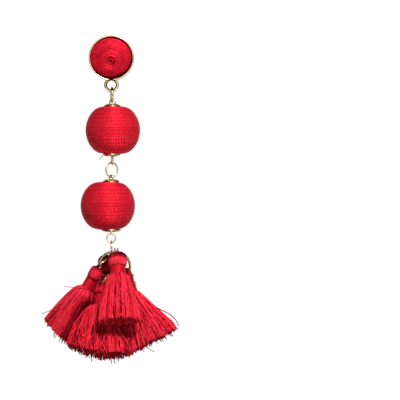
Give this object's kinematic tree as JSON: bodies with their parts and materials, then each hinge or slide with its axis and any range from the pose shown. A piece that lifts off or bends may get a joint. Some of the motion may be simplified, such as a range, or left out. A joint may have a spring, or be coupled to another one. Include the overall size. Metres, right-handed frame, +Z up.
{
  "type": "tassel earring",
  "caption": "Drop earring with a thread-wound stud in a gold cup, thread-wound balls on eye pins and a large ring of red thread tassels.",
  "frame": {"origin": "foot of the ear post, at the centre of the cup's back", "axes": "+Z up along the hanging drop, +X to the right in the front view, +Y back along the ear post; the front faces -Y"},
  "size_m": [0.0378, 0.0307, 0.0974],
  "materials": {
    "gold_plate": "polished gold plate",
    "wound_thread": "silky wound thread",
    "tassel_thread": "silky loose thread"
  },
  "bodies": {
    "stud": {"ear_stud": "gold_plate", "stud_dome": "wound_thread"},
    "link": {"top_link": "gold_plate"},
    "drop": {"upper_eye_pin": "gold_plate", "upper_cap_top": "gold_plate", "upper_ball": "wound_thread", "upper_cap_bottom": "gold_plate", "middle_link": "gold_plate", "lower_eye_pin": "gold_plate", "lower_cap_top": "gold_plate", "lower_ball": "wound_thread", "lower_cap_bottom": "gold_plate", "lower_link": "gold_plate", "tassel_ring": "gold_plate", "front_link": "gold_plate", "front_tassel": "tassel_thread", "front_wrap": "tassel_thread", "left_link": "gold_plate", "left_tassel": "tassel_thread", "left_wrap": "tassel_thread", "low_link": "gold_plate", "low_tassel": "tassel_thread", "low_wrap": "tassel_thread", "right_link": "gold_plate", "right_tassel": "tassel_thread", "right_wrap": "tassel_thread", "back_link": "gold_plate", "back_tassel": "tassel_thread", "back_wrap": "tassel_thread"}
  },
  "joints": [
    {"name": "side_swing", "type": "hinge", "parent": "stud", "child": "link", "pos_m": [0, -0.0005, -0.00805], "axis": [0, 1, 0], "range_deg": [-50, 50]},
    {"name": "front_swing", "type": "hinge", "parent": "link", "child": "drop", "pos_m": [0.00015, -0.0005, -0.01103], "axis": [0.9925, 0.1219, 0], "range_deg": [-50, 50]}
  ]
}
